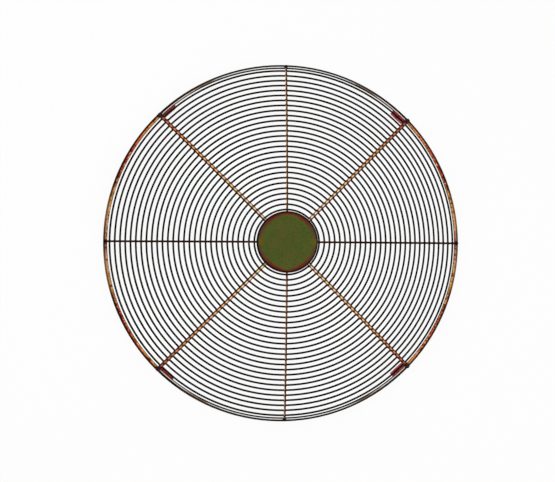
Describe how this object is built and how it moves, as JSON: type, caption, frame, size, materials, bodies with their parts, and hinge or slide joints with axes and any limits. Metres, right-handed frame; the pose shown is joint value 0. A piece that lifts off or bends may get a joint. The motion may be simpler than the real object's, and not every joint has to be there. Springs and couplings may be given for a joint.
{
  "type": "wire fan guard",
  "caption": "Round, gently domed wire fan guard: concentric rings in a rim hoop, welded to radial wires, with a closed centre disc and screw lugs behind the rim.",
  "frame": {"origin": "middle of the plane that the rear edges of the lugs stand on, on the guard's own axis", "axes": "+Z out of the front of the guard, +Y towards its top, +X to the right seen from the front"},
  "size_m": [0.5399, 0.54, 0.0558],
  "materials": {
    "ring_wire": "gloss",
    "rim_wire": "gloss",
    "spoke_wire": "gloss",
    "rod_wire": "gloss",
    "disc_paint": "satin",
    "lug_plate": "satin"
  },
  "bodies": {
    "root": {"ring_01": "ring_wire", "ring_02": "ring_wire", "ring_03": "ring_wire", "ring_04": "ring_wire", "ring_05": "ring_wire", "ring_06": "ring_wire", "ring_07": "ring_wire", "ring_08": "ring_wire", "ring_09": "ring_wire", "ring_10": "ring_wire", "ring_11": "ring_wire", "ring_12": "ring_wire", "ring_13": "ring_wire", "ring_14": "ring_wire", "ring_15": "ring_wire", "ring_16": "ring_wire", "ring_17": "ring_wire", "ring_18": "ring_wire", "ring_19": "ring_wire", "ring_20": "ring_wire", "ring_21": "ring_wire", "ring_22": "ring_wire", "ring_23": "ring_wire", "ring_24": "ring_wire", "ring_25": "ring_wire", "ring_26": "ring_wire", "ring_27": "ring_wire", "ring_28": "ring_wire", "rim_hoop": "rim_wire", "centre_disc": "disc_paint", "thin_spoke_right": "spoke_wire", "thin_spoke_top": "spoke_wire", "thin_spoke_left": "spoke_wire", "thin_spoke_bottom": "spoke_wire", "thick_rod_top_right": "rod_wire", "thick_rod_top_left": "rod_wire", "thick_rod_bottom_left": "rod_wire", "thick_rod_bottom_right": "rod_wire", "lug_top_right": "lug_plate", "lug_top_left": "lug_plate", "lug_bottom_left": "lug_plate", "lug_bottom_right": "lug_plate"}
  },
  "joints": []
}
